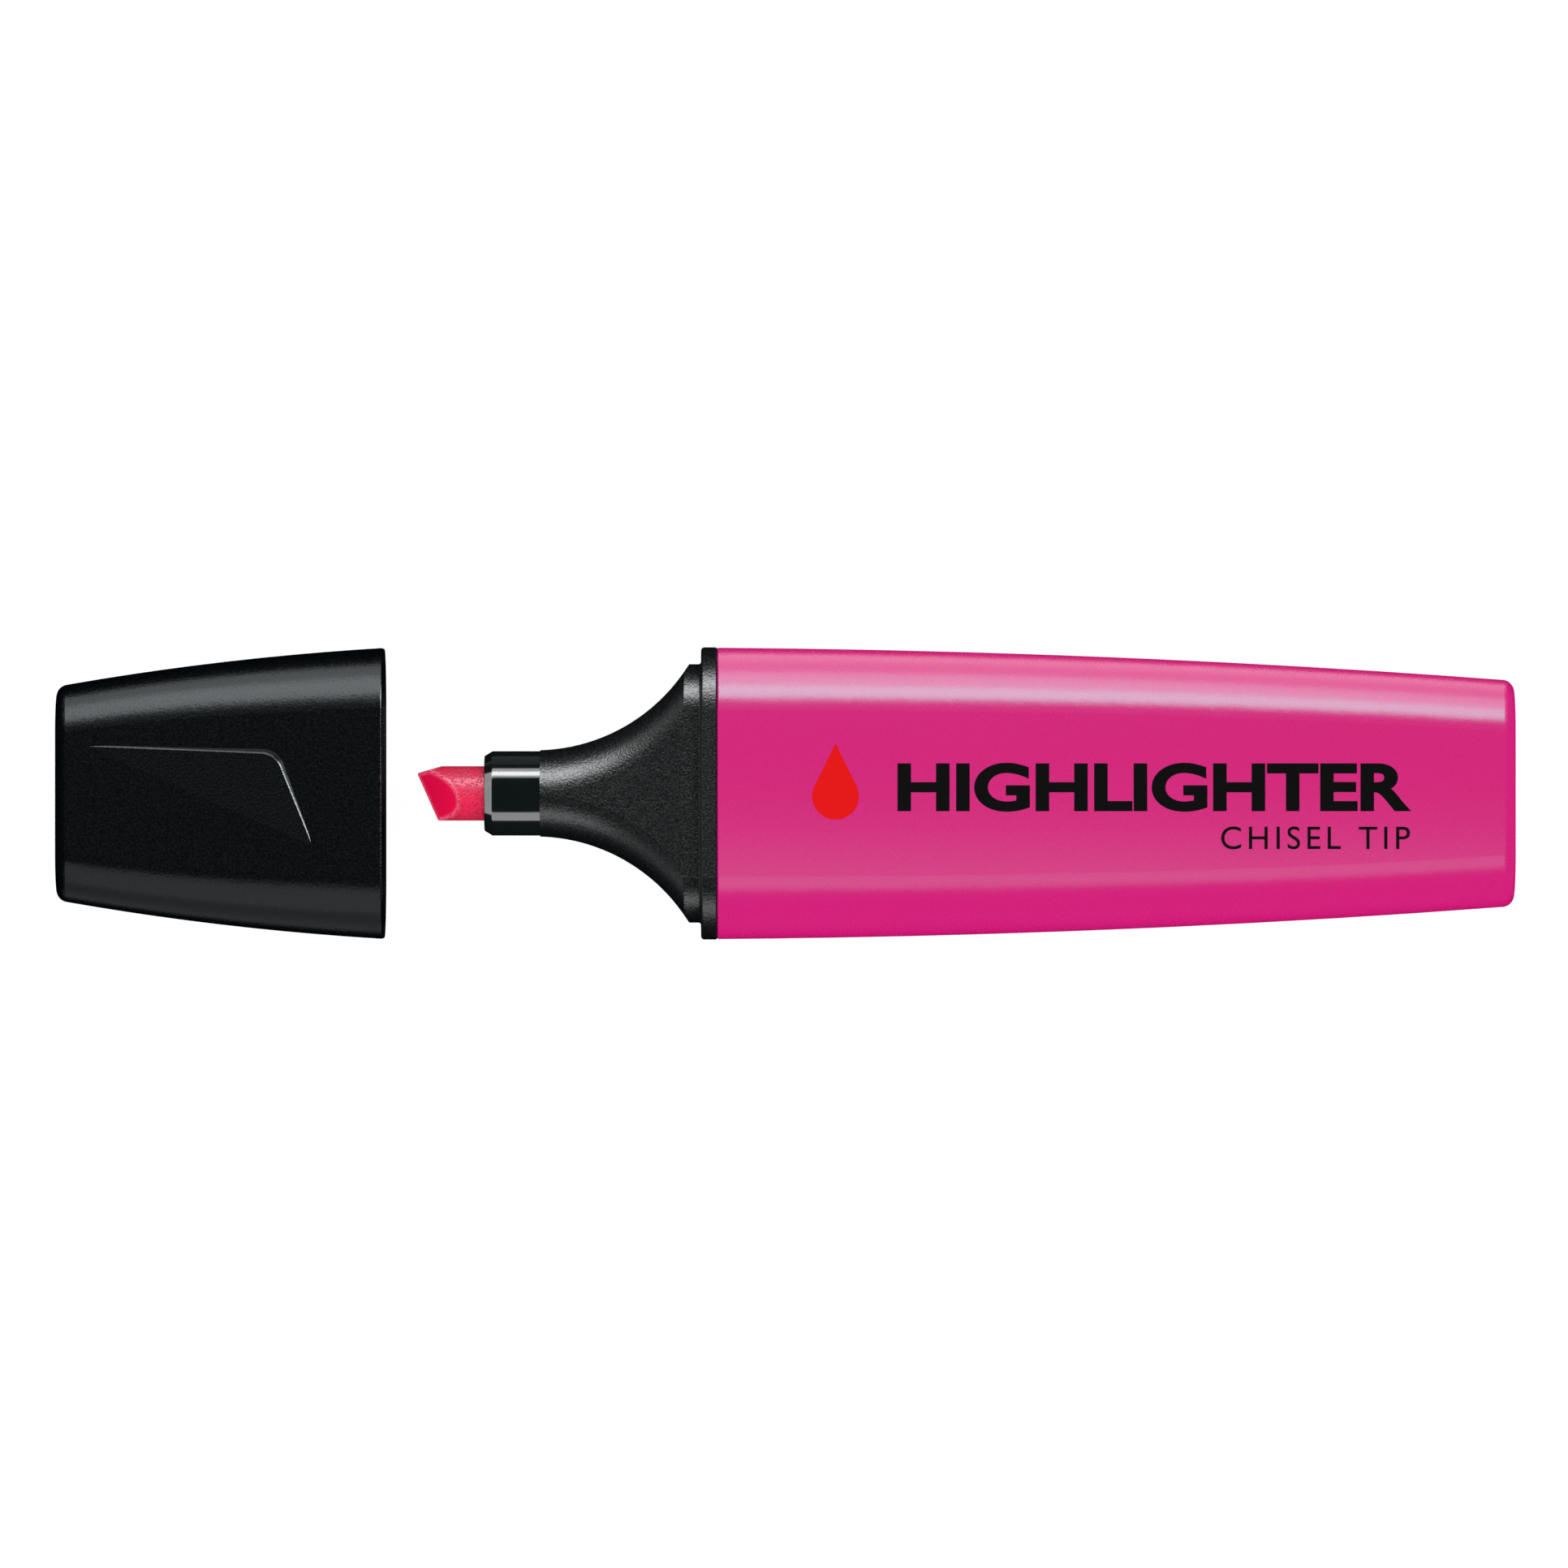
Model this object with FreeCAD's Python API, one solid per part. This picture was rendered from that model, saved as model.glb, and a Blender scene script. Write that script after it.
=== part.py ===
"""A flat, felt-tipped highlighter pen with its cap pulled off, in millimetres.

The pen lies on its broad side along X. Its nib points to -X, where the cap is, and its closed
barrel end points to +X. Y is the pen's width and Z its thickness. The origin is on the surface
that the pen lies on, under the middle of its overall length.

Lengths along the pen are given as stations, measured from the front face of the flange between
the cap and the barrel. Lengths inside the cap are depths, measured back from the cap's mouth.
"""

import FreeCAD
import Part

import math
import os

from FreeCAD import Rotation, Vector

# Driving dimensions of the whole pen.
WIDTH = 27.0
THICKNESS = 17.0
FLANGE_LENGTH = 1.5
BARREL_LENGTH = 73.6
CAP_LENGTH = 30.2
CAP_TRAVEL = 29.3  # how far the cap is pulled off
CLOSED_GAP = 0.05  # between the closed cap's mouth and the flange
FIT = 0.03  # clearance of a pushed-in piece on each side

AXIS_Z = THICKNESS / 2
CAP_MOUTH = -(CAP_TRAVEL + CLOSED_GAP)
CAP_TOP = CAP_MOUTH - CAP_LENGTH
BARREL_REAR = FLANGE_LENGTH + BARREL_LENGTH
ORIGIN_STATION = (CAP_TOP + BARREL_REAR) / 2

# Barrel and cap cases. Their sides bow outward, so each half-width is given at the open end,
# halfway and the closed end. Their broad faces are flat, so each half-depth is given at the
# two ends, as is the radius of the long edges.
BARREL_HALF_WIDTH = (13.46, 12.57, 10.42)
BARREL_HALF_DEPTH = (8.46, 6.80)
BARREL_CORNER = (5.8, 4.8)
BARREL_WALL = 1.3
BARREL_END_WALL = 1.6
CAP_HALF_WIDTH = (13.44, 12.11, 9.88)
CAP_HALF_DEPTH = (8.44, 6.35)
CAP_CORNER = (5.6, 4.4)
CAP_WALL = 1.4
CAP_END_WALL = 1.5
CAP_SEAT_DEPTH = 2.3  # the straight stretch inside the mouth, which fits the land
CAP_LEAD_CHAMFER = 0.35
CASE_END_ROUND = 1.1
INSIDE_END_ROUND = 0.5
RIM_ROUND = 0.15

# Front section: trumpet, land, flange and the plug that holds it in the barrel.
FLANGE_CORNER = 5.7
FLANGE_FRONT_ROUND = 0.3
FLANGE_REAR_CHAMFER = 0.12
LAND_INSET = 1.56  # from the flange's edge to the land that the cap slides over
LAND_CORNER = 4.1
LAND_LENGTH = 1.05
LAND_ROOT_ROUND = 0.25
LAND_CLEARANCE = 0.1  # between the land and the closed cap
LAND_WIDTH = WIDTH / 2 - LAND_INSET
LAND_DEPTH = THICKNESS / 2 - LAND_INSET
TRUMPET_FRONT = -14.9
TRUMPET_HALF = 4.0
TRUMPET_CORNER = 3.97
TRUMPET_WIDTH_ARC = 16.8  # radius of its flare across the pen's width
TRUMPET_DEPTH_ARC = 32.5  # and across its thickness
TRUMPET_LEAD = 0.47  # how far ahead of its front face the flare begins
TRUMPET_WALL = 1.5
TRUMPET_SHIFT = 1.2  # the flare's inside is moved back by this, to keep its wall
HOLLOW_FRONT = -7.4
PLUG_LENGTH = 8.0
PLUG_WALL = 1.2
NECK_STEP = 0.4  # the hollow is narrower by this inside the flange than inside the plug
NIB_TUBE_RADIUS = 4.1
NIB_TUBE_REAR = 0.6

# Nozzle sleeve: a polished ring round the nib, and the shank that holds it in the section.
NOZZLE_RADIUS = 3.91
NOZZLE_FRONT = -20.05
NOZZLE_NOSE_LENGTH = 0.75
NOZZLE_NOSE_RADIUS = 3.46
NOZZLE_EDGE_ROUND = 0.12
SHANK_RADIUS = 3.25
SHANK_REAR = -8.6
VENT_COUNT = 4
VENT_WIDTH = 0.6
VENT_DEPTH = 0.35
VENT_LENGTH = 9.0

# Nib: a round felt rod with a chisel end and a tapered tail.
NIB_RADIUS = 2.52
NIB_CLEARANCE = 0.02
NIB_TIP = -26.28
NIB_TIP_OFFSET = 1.86  # the chisel's long corner, off the pen's axis
NIB_SLANT = 24.0  # degrees between the chisel's edge and Y
NIB_BEVEL = 40.0  # degrees between each bevel and the pen's broad side
NIB_EDGE_HALF = 0.35
NIB_SHOULDER_LENGTH = 2.3  # the long corner is cut back over this length
NIB_EDGE_ROUND = 0.15
NIB_TAIL_FRONT = 5.2
NIB_TAIL_REAR = 7.6
NIB_TAIL_RADIUS = 1.1

# Ink reservoir: a fibre rod in a tube of plastic film.
CORE_RADIUS = 5.0
CORE_FRONT = 1.4
CORE_REAR = 70.4
CORE_END_CHAMFER = 0.35
FILM_GAP = 0.02
FILM_THICKNESS = 0.16
FILM_OVERHANG = 0.6
FILM_RADIUS = CORE_RADIUS + FILM_GAP + FILM_THICKNESS

# Ribs inside the barrel, which centre the reservoir and stop its rear end.
RIB_THICKNESS = 1.0
RIB_FRONT = 14.0
RIB_CLEARANCE = 0.1

# Cap liner: a stepped cup that closes round the nozzle, and the socket that holds it.
LINER_MOUTH = 15.4
LINER_STEP = 20.5
LINER_SEAT_RADIUS = NOZZLE_RADIUS + 0.06
LINER_SEAT_OUTER = 4.8
LINER_CHAMBER_RADIUS = 3.3
LINER_CHAMBER_OUTER = 4.1
LINER_FLOOR = 0.9
LINER_END = CAP_LENGTH - CAP_END_WALL
LINER_LIP_CHAMFER = 0.25
SOCKET_HEIGHT = 3.0
SOCKET_WALL = 0.8
CAP_RIB_MOUTH = 16.4

# Thumb ramp on the cap's upper broad face: a facet that rises from a slanting line to a
# rounded corner. Each pair is a depth in the cap and Y.
RAMP_START = (27.6, 4.45)
RAMP_CORNER = (9.75, 3.75)
RAMP_END = (6.3, -4.85)
RAMP_HEIGHT = 0.85
RAMP_WALL_LEAN = 20.0  # degrees that its walls lean back from upright
RAMP_CORNER_ROUND = 2.1
RAMP_CREST_ROUND = 0.25
RAMP_SINK = 3.0  # how far its solid reaches down, to meet the cap's wall

REACH = 60.0  # larger than any part of the pen is across
SAME_PLACE = 1e-3  # two places nearer than this are taken as one
LONG_SHARE = 0.8  # a long edge covers at least this share of its body's length
ALONG = Vector(1, 0, 0)
SIDEWAYS = Vector(0, 1, 0)
UP = Vector(0, 0, 1)


def point(station, y=0.0, z=0.0):
    """The place in the frame of a station, with y and z measured from the pen's axis."""
    return Vector(station - ORIGIN_STATION, y, AXIS_Z + z)


def cap_station(depth):
    """The station of a depth inside the pulled-off cap."""
    return CAP_MOUTH - depth


def rod(front, rear, radius, front_radius=None):
    """A cylinder on the axis between two stations, or a cone that starts at front_radius."""
    if front_radius is None:
        return Part.makeCylinder(radius, rear - front, point(front), ALONG)
    return Part.makeCone(front_radius, radius, rear - front, point(front), ALONG)


def tube(front, rear, outer, inner):
    """A round tube on the axis between two stations."""
    return rod(front, rear, outer).cut(rod(front, rear, inner))


def bar(front, rear, half_width, half_depth):
    """A rectangular bar on the axis between two stations."""
    corner = point(front, -half_width, -half_depth)
    return Part.makeBox(rear - front, 2 * half_width, 2 * half_depth, corner)


def half_space(origin, normal):
    """A large block that fills the side of a plane that the normal points to."""
    block = Part.makeBox(2 * REACH, 2 * REACH, REACH, Vector(-REACH, -REACH, 0))
    block.Placement = FreeCAD.Placement(origin, Rotation(UP, normal))
    return block


def long_edges(shape, length):
    """The edges that reach along most of a length of the pen."""
    return [edge for edge in shape.Edges if edge.BoundBox.XLength > LONG_SHARE * length]


def rim_edges(shape, station):
    """The edges that lie in the plane across the pen at a station."""
    x = point(station).x
    found = []
    for edge in shape.Edges:
        low, high = edge.BoundBox.XMin, edge.BoundBox.XMax
        if abs(low - x) < SAME_PLACE and abs(high - x) < SAME_PLACE:
            found.append(edge)
    return found


def edge_within(edge, margin):
    """Whether an edge stands no more than a margin outside the land."""
    box = edge.BoundBox
    half_width = max(abs(box.YMin), abs(box.YMax))
    return half_width < LAND_WIDTH + margin + FIT


def edge_near(shape, place):
    """The edge of a shape that passes nearest to a place."""
    marker = Part.Vertex(place)
    return min(shape.Edges, key=lambda edge: edge.distToShape(marker)[0])


def bowed_slab(stations, halves, toward, across):
    """A slab whose two sides bow through three half-sizes toward and away from a direction."""
    upper = [point(s) + toward * half - across / 2 for s, half in zip(stations, halves)]
    lower = [point(s) - toward * half - across / 2 for s, half in zip(stations, halves)]
    edges = [
        Part.Arc(*upper).toShape(),
        Part.LineSegment(upper[2], lower[2]).toShape(),
        Part.Arc(*reversed(lower)).toShape(),
        Part.LineSegment(lower[0], upper[0]).toShape(),
    ]
    return Part.Face(Part.Wire(edges)).extrude(across)


def wedge_slab(stations, halves):
    """A slab with flat broad faces that taper between two half-depths, wider than the pen."""
    across = SIDEWAYS * REACH
    upper = [point(s, 0, half) - across / 2 for s, half in zip(stations, halves)]
    lower = [point(s, 0, -half) - across / 2 for s, half in zip(stations, halves)]
    outline = Part.makePolygon([*upper, *reversed(lower), upper[0]])
    return Part.Face(outline).extrude(across)


def prism(front, rear, half_width, half_depth, corner):
    """A straight bar between two stations with its four long edges rounded."""
    body = bar(front, rear, half_width, half_depth)
    return body.makeFillet(corner, long_edges(body, rear - front))


def case(open_end, closed_end, half_width, half_depth, corner, end_round):
    """A tapering body whose long edges are rounded from corner[0] to corner[1]."""
    stations = (open_end, (open_end + closed_end) / 2, closed_end)
    body = bowed_slab(stations, half_width, SIDEWAYS, UP * REACH)
    body = body.common(wedge_slab((open_end, closed_end), half_depth))
    open_x = point(open_end).x
    for edge in long_edges(body, abs(open_end - closed_end)):
        starts_open = abs(edge.valueAt(edge.FirstParameter).x - open_x) < SAME_PLACE
        radii = corner if starts_open else (corner[1], corner[0])
        middle = edge.valueAt((edge.FirstParameter + edge.LastParameter) / 2)
        body = body.makeFillet(radii[0], radii[1], [edge_near(body, middle)])
    return body.makeFillet(end_round, rim_edges(body, closed_end))


def inset(sizes, wall):
    """Sizes that are each smaller by a wall."""
    return tuple(size - wall for size in sizes)


def barrel_inside(wall):
    """The space inside the barrel, a wall away from its outside."""
    halves = (inset(BARREL_HALF_WIDTH, wall), inset(BARREL_HALF_DEPTH, wall))
    closed_end = BARREL_REAR - BARREL_END_WALL
    return case(FLANGE_LENGTH, closed_end, *halves, inset(BARREL_CORNER, wall), INSIDE_END_ROUND)


def cap_inside():
    """The tapering space inside the cap, a wall away from its outside."""
    halves = (inset(CAP_HALF_WIDTH, CAP_WALL), inset(CAP_HALF_DEPTH, CAP_WALL))
    corner = inset(CAP_CORNER, CAP_WALL)
    return case(CAP_MOUTH, cap_station(LINER_END), *halves, corner, INSIDE_END_ROUND)


def cap_seat():
    """The straight space in the cap's mouth, which slides over the land."""
    width = LAND_WIDTH + LAND_CLEARANCE
    depth = LAND_DEPTH + LAND_CLEARANCE
    return prism(cap_station(CAP_SEAT_DEPTH), CAP_MOUTH, width, depth, LAND_CORNER)


def trumpet_slabs(shift=0.0, wall=0.0):
    """The flare's two crossing slabs, moved back by shift and thinner by wall on each side."""
    front = TRUMPET_FRONT + shift
    rear = -LAND_LENGTH + shift
    stations = (front, (front + rear) / 2, rear)
    widths = flare(TRUMPET_HALF - wall, TRUMPET_WIDTH_ARC)
    depths = flare(TRUMPET_HALF - wall, TRUMPET_DEPTH_ARC)
    body = bowed_slab(stations, widths, SIDEWAYS, UP * REACH)
    return body.common(bowed_slab(stations, depths, UP, SIDEWAYS * REACH))


def flare(front_half, arc):
    """Half-sizes at the front, middle and rear of a flare that begins TRUMPET_LEAD ahead."""
    length = -LAND_LENGTH - TRUMPET_FRONT
    runs = [TRUMPET_LEAD + length * share for share in (0, 0.5, 1)]
    return [front_half + arc - math.sqrt(arc**2 - run**2) for run in runs]


def make_barrel():
    """Closed barrel with ribs inside that centre and stop the reservoir."""
    sizes = (BARREL_HALF_WIDTH, BARREL_HALF_DEPTH, BARREL_CORNER)
    outside = case(FLANGE_LENGTH, BARREL_REAR, *sizes, CASE_END_ROUND)
    outside = outside.makeFillet(RIM_ROUND, rim_edges(outside, FLANGE_LENGTH))
    inside = barrel_inside(BARREL_WALL)
    half_rib = RIB_THICKNESS / 2
    ribs = bar(RIB_FRONT, BARREL_REAR, REACH / 2, half_rib)
    ribs = ribs.fuse(bar(RIB_FRONT, BARREL_REAR, half_rib, REACH / 2))
    bore = rod(RIB_FRONT, CORE_REAR + FILM_OVERHANG, FILM_RADIUS + RIB_CLEARANCE)
    ribs = ribs.common(inside).cut(bore)
    return outside.cut(inside).fuse(ribs).removeSplitter()


def trumpet():
    """The flare from the nozzle's ring to the land, solid."""
    body = trumpet_slabs()
    body = body.makeFillet(TRUMPET_CORNER, long_edges(body, -LAND_LENGTH - TRUMPET_FRONT))
    return body.common(prism(TRUMPET_FRONT, -LAND_LENGTH, LAND_WIDTH, LAND_DEPTH, LAND_CORNER))


def plug():
    """The skirt that is pushed into the barrel, solid."""
    rear = FLANGE_LENGTH + PLUG_LENGTH
    return barrel_inside(BARREL_WALL + FIT).common(bar(FLANGE_LENGTH, rear, REACH / 2, REACH / 2))


def section_hollow():
    """The space inside the plug, the flange and the flare, around the nib tube."""
    skirt = BARREL_WALL + FIT + PLUG_WALL
    width = BARREL_HALF_WIDTH[0] - skirt - NECK_STEP
    depth = BARREL_HALF_DEPTH[0] - skirt - NECK_STEP
    neck_rear = FLANGE_LENGTH + NECK_STEP
    neck = prism(-LAND_LENGTH, neck_rear, width, depth, BARREL_CORNER[0] - skirt)
    horn = trumpet_slabs(TRUMPET_SHIFT, TRUMPET_WALL)
    horn = horn.common(bar(HOLLOW_FRONT, -LAND_LENGTH + TRUMPET_SHIFT, width, depth))
    space = barrel_inside(skirt).fuse(neck).fuse(horn)
    return space.cut(rod(HOLLOW_FRONT, NIB_TUBE_REAR, NIB_TUBE_RADIUS))


def nib_way():
    """The stepped bore through the nib tube: the shank's seat, then the nib's own bore."""
    seat = rod(TRUMPET_FRONT, SHANK_REAR, SHANK_RADIUS + FIT)
    return seat.fuse(rod(TRUMPET_FRONT, NIB_TUBE_REAR, NIB_RADIUS + NIB_CLEARANCE))


def make_front_section():
    """Trumpet, land and flange, with a plug skirt behind them and a tube for the nib."""
    land = prism(-LAND_LENGTH, FLANGE_LENGTH, LAND_WIDTH, LAND_DEPTH, LAND_CORNER)
    flange = prism(0, FLANGE_LENGTH, WIDTH / 2, THICKNESS / 2, FLANGE_CORNER)
    flange = flange.makeFillet(FLANGE_FRONT_ROUND, rim_edges(flange, 0))
    flange = flange.makeChamfer(FLANGE_REAR_CHAMFER, rim_edges(flange, FLANGE_LENGTH))
    body = trumpet().fuse(land).removeSplitter().fuse(flange).removeSplitter()
    root = [edge for edge in rim_edges(body, 0) if edge_within(edge, 0)]
    body = body.makeFillet(LAND_ROOT_ROUND, root)
    return body.fuse(plug()).cut(section_hollow()).cut(nib_way()).removeSplitter()


def make_nozzle():
    """Polished ring with a tapered nose, its shank, and air grooves along its bore."""
    nose_end = NOZZLE_FRONT + NOZZLE_NOSE_LENGTH
    body = rod(NOZZLE_FRONT, nose_end, NOZZLE_RADIUS, NOZZLE_NOSE_RADIUS)
    body = body.fuse(rod(nose_end, TRUMPET_FRONT, NOZZLE_RADIUS))
    body = body.makeFillet(NOZZLE_EDGE_ROUND, rim_edges(body, NOZZLE_FRONT))
    body = body.makeFillet(NOZZLE_EDGE_ROUND, rim_edges(body, nose_end))
    body = body.fuse(rod(TRUMPET_FRONT, SHANK_REAR, SHANK_RADIUS))
    body = body.cut(rod(NOZZLE_FRONT, SHANK_REAR, NIB_RADIUS + NIB_CLEARANCE))
    reach = NIB_RADIUS + VENT_DEPTH
    groove = Part.makeBox(VENT_LENGTH, VENT_WIDTH, reach, point(NOZZLE_FRONT, -VENT_WIDTH / 2))
    for number in range(VENT_COUNT):
        turned = groove.copy()
        turned.rotate(point(0), ALONG, (number + 0.5) * 360 / VENT_COUNT)
        body = body.cut(turned)
    return body


def make_nib():
    """Felt rod cut to a slanted chisel, with its long corner worn back and a tapered tail."""
    body = rod(NIB_TIP, NIB_TAIL_FRONT, NIB_RADIUS)
    body = body.fuse(rod(NIB_TAIL_FRONT, NIB_TAIL_REAR, NIB_TAIL_RADIUS, NIB_RADIUS))
    tip = point(NIB_TIP, NIB_TIP_OFFSET)
    slant = math.radians(NIB_SLANT)
    bevel = math.radians(NIB_BEVEL)
    outward = Vector(-math.cos(slant), -math.sin(slant), 0)
    body = body.cut(half_space(tip, outward))
    for side in (1, -1):
        start = tip + Vector(0, 0, side * NIB_EDGE_HALF)
        normal = outward * math.sin(bevel) + Vector(0, 0, side * math.cos(bevel))
        body = body.cut(half_space(start, normal))
    drop = NIB_RADIUS - NIB_TIP_OFFSET
    body = body.cut(half_space(tip, Vector(-drop, NIB_SHOULDER_LENGTH, 0)))
    chisel = [edge for edge in body.Edges if edge.BoundBox.XMax < point(NOZZLE_FRONT).x]
    return body.makeFillet(NIB_EDGE_ROUND, chisel)


def make_reservoir_core():
    """Fibre rod with a socket in its front for the nib's tail."""
    body = rod(CORE_FRONT, CORE_REAR, CORE_RADIUS)
    body = body.makeChamfer(CORE_END_CHAMFER, rim_edges(body, CORE_FRONT))
    body = body.makeChamfer(CORE_END_CHAMFER, rim_edges(body, CORE_REAR))
    radius = NIB_RADIUS + NIB_CLEARANCE
    body = body.cut(rod(CORE_FRONT, NIB_TAIL_FRONT, radius))
    return body.cut(rod(NIB_TAIL_FRONT, NIB_TAIL_REAR, NIB_TAIL_RADIUS + NIB_CLEARANCE, radius))


def make_reservoir_film():
    """Thin tube of film round the fibre rod, open at both ends."""
    front = CORE_FRONT - FILM_OVERHANG
    return tube(front, CORE_REAR + FILM_OVERHANG, FILM_RADIUS, CORE_RADIUS + FILM_GAP)


def make_cap_shell():
    """Cap with a thumb ramp, a socket for the liner and ribs that steady it."""
    body = case(CAP_MOUTH, CAP_TOP, CAP_HALF_WIDTH, CAP_HALF_DEPTH, CAP_CORNER, CASE_END_ROUND)
    body = body.makeFillet(RIM_ROUND, rim_edges(body, CAP_MOUTH))
    inside = cap_inside()
    body = body.cut(inside).cut(cap_seat())
    rim = [edge for edge in rim_edges(body, CAP_MOUTH) if edge_within(edge, LAND_CLEARANCE)]
    body = body.makeChamfer(CAP_LEAD_CHAMFER, rim)
    return body.fuse(thumb_ramp().cut(inside)).fuse(cap_ribs(inside))


def cap_ribs(inside):
    """The liner's socket and the crossed ribs that steady it, held within the cap."""
    front = cap_station(LINER_END)
    rear = cap_station(CAP_RIB_MOUTH)
    half_rib = RIB_THICKNESS / 2
    ribs = bar(front, rear, REACH / 2, half_rib)
    ribs = ribs.fuse(bar(front, rear, half_rib, REACH / 2))
    ribs = ribs.fuse(rod(front, front + SOCKET_HEIGHT, LINER_CHAMBER_OUTER + FIT + SOCKET_WALL))
    ribs = ribs.common(inside)
    ribs = ribs.cut(rod(front, rear, LINER_CHAMBER_OUTER + FIT))
    return ribs.cut(rod(cap_station(LINER_STEP), rear, LINER_SEAT_OUTER + FIT))


def thumb_ramp():
    """Raised facet on the upper broad face, with leaning walls and a rounded corner."""
    start, corner, end = (ramp_place(spot) for spot in (RAMP_START, RAMP_CORNER, RAMP_END))
    crest = corner + UP * RAMP_HEIGHT
    base = end - start
    run = (corner - start).cross(base).Length / base.Length
    facet = wedge_slab((CAP_MOUTH, CAP_TOP), CAP_HALF_DEPTH)
    facet.rotate(start, base, math.degrees(math.atan2(RAMP_HEIGHT, run)))
    facet = facet.cut(half_space(start, base.cross(UP)))
    facet = facet.cut(half_space(start - UP * RAMP_SINK, -UP))
    lean = math.radians(RAMP_WALL_LEAN)
    for line in (crest - start, end - crest):
        outward = UP.cross(line).normalize()
        upward = line.cross(outward).normalize()
        facet = facet.cut(half_space(crest, outward * math.cos(lean) + upward * math.sin(lean)))
    facet = facet.makeFillet(RAMP_CORNER_ROUND, [edge_near(facet, crest - UP * RAMP_SINK / 2)])
    return facet.makeFillet(RAMP_CREST_ROUND, crest_edges(facet, start, end))


def crest_edges(facet, start, end):
    """The upper edges of the ramp's two walls and of its rounded corner."""
    side = UP.cross(end - start)
    found = []
    for edge in facet.Edges:
        middle = edge.valueAt((edge.FirstParameter + edge.LastParameter) / 2)
        level = edge.BoundBox.ZMax - edge.BoundBox.ZMin < RAMP_SINK
        if level and middle.z > start.z and (middle - start).dot(side) > RAMP_HEIGHT:
            found.append(edge)
    return found


def ramp_place(spot):
    """A place on the cap's upper broad face, from its depth in the cap and Y."""
    depth, y = spot
    taper = (CAP_HALF_DEPTH[0] - CAP_HALF_DEPTH[1]) / CAP_LENGTH
    return point(cap_station(depth), y, CAP_HALF_DEPTH[0] - taper * depth)


def make_cap_liner():
    """Stepped cup: a seat that closes round the nozzle, and a chamber for the nib."""
    end = cap_station(LINER_END)
    step = cap_station(LINER_STEP)
    mouth = cap_station(LINER_MOUTH)
    body = rod(end, step, LINER_CHAMBER_OUTER)
    body = body.fuse(rod(step, mouth, LINER_SEAT_OUTER))
    body = body.cut(rod(end + LINER_FLOOR, mouth, LINER_CHAMBER_RADIUS))
    body = body.cut(rod(step, mouth, LINER_SEAT_RADIUS))
    return body.makeChamfer(LINER_LIP_CHAMFER, rim_edges(body, mouth))


def save(name, shape):
    """Write one sub-part."""
    shape.exportStep(os.path.join("parts", name + ".step"))


MAKERS = {
    "barrel": make_barrel,
    "front_section": make_front_section,
    "nozzle": make_nozzle,
    "nib": make_nib,
    "reservoir_core": make_reservoir_core,
    "reservoir_film": make_reservoir_film,
    "cap_shell": make_cap_shell,
    "cap_liner": make_cap_liner,
}


def main():
    """Make and write every sub-part."""
    os.makedirs("parts", exist_ok=True)
    for name, maker in MAKERS.items():
        save(name, maker())


if __name__ == "__main__":
    main()
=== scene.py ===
"""Finishes, printing, lights and camera for a flat highlighter pen with its cap pulled off.

The pen lies along X on the floor plane, with its nib towards -X. All lengths are in metres and
all angles in degrees unless a comment says otherwise. Every node of the frame keeps its mesh and
gets its finish here. The printing on the barrel is built here.
"""

import logging
import math
from dataclasses import dataclass, field
from enum import Enum

import bmesh
import bpy
from mathutils import Matrix, Vector
from mathutils.bvhtree import BVHTree


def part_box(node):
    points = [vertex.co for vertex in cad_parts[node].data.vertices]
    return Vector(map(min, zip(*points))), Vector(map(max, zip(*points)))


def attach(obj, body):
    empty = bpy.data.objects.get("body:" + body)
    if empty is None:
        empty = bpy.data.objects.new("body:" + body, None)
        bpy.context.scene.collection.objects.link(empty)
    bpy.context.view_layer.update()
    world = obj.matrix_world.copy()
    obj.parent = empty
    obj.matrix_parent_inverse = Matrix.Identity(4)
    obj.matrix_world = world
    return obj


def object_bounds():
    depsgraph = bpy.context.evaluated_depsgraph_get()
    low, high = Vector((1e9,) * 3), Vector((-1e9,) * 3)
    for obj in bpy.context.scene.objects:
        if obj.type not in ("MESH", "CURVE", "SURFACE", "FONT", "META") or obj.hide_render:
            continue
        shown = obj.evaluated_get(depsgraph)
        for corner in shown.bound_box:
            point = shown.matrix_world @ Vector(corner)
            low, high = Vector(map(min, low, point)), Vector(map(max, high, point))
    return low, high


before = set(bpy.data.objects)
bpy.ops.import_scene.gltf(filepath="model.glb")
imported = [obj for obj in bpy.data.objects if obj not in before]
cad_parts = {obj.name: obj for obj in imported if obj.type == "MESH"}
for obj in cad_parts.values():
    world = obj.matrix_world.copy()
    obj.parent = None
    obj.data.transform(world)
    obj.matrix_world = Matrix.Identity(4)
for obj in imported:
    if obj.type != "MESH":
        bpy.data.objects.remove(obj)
CAD_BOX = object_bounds()
CAD_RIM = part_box("barrel")[0][0]  # where the barrel's open rim is, along X

LOG = logging.getLogger("highlighter")
MM = 0.001

# Where the Mix node keeps its colour sockets.
MIX_SHARE, MIX_FIRST, MIX_SECOND, MIX_RESULT = 0, 6, 7, 2
BEVEL_SAMPLES = 6
FINE_DETAIL = 3.0  # octaves of the noise in a grain
WELD = 1e-5  # letters' vertices nearer than this are joined, in units of the type size

Colour = tuple[float, float, float]


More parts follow.
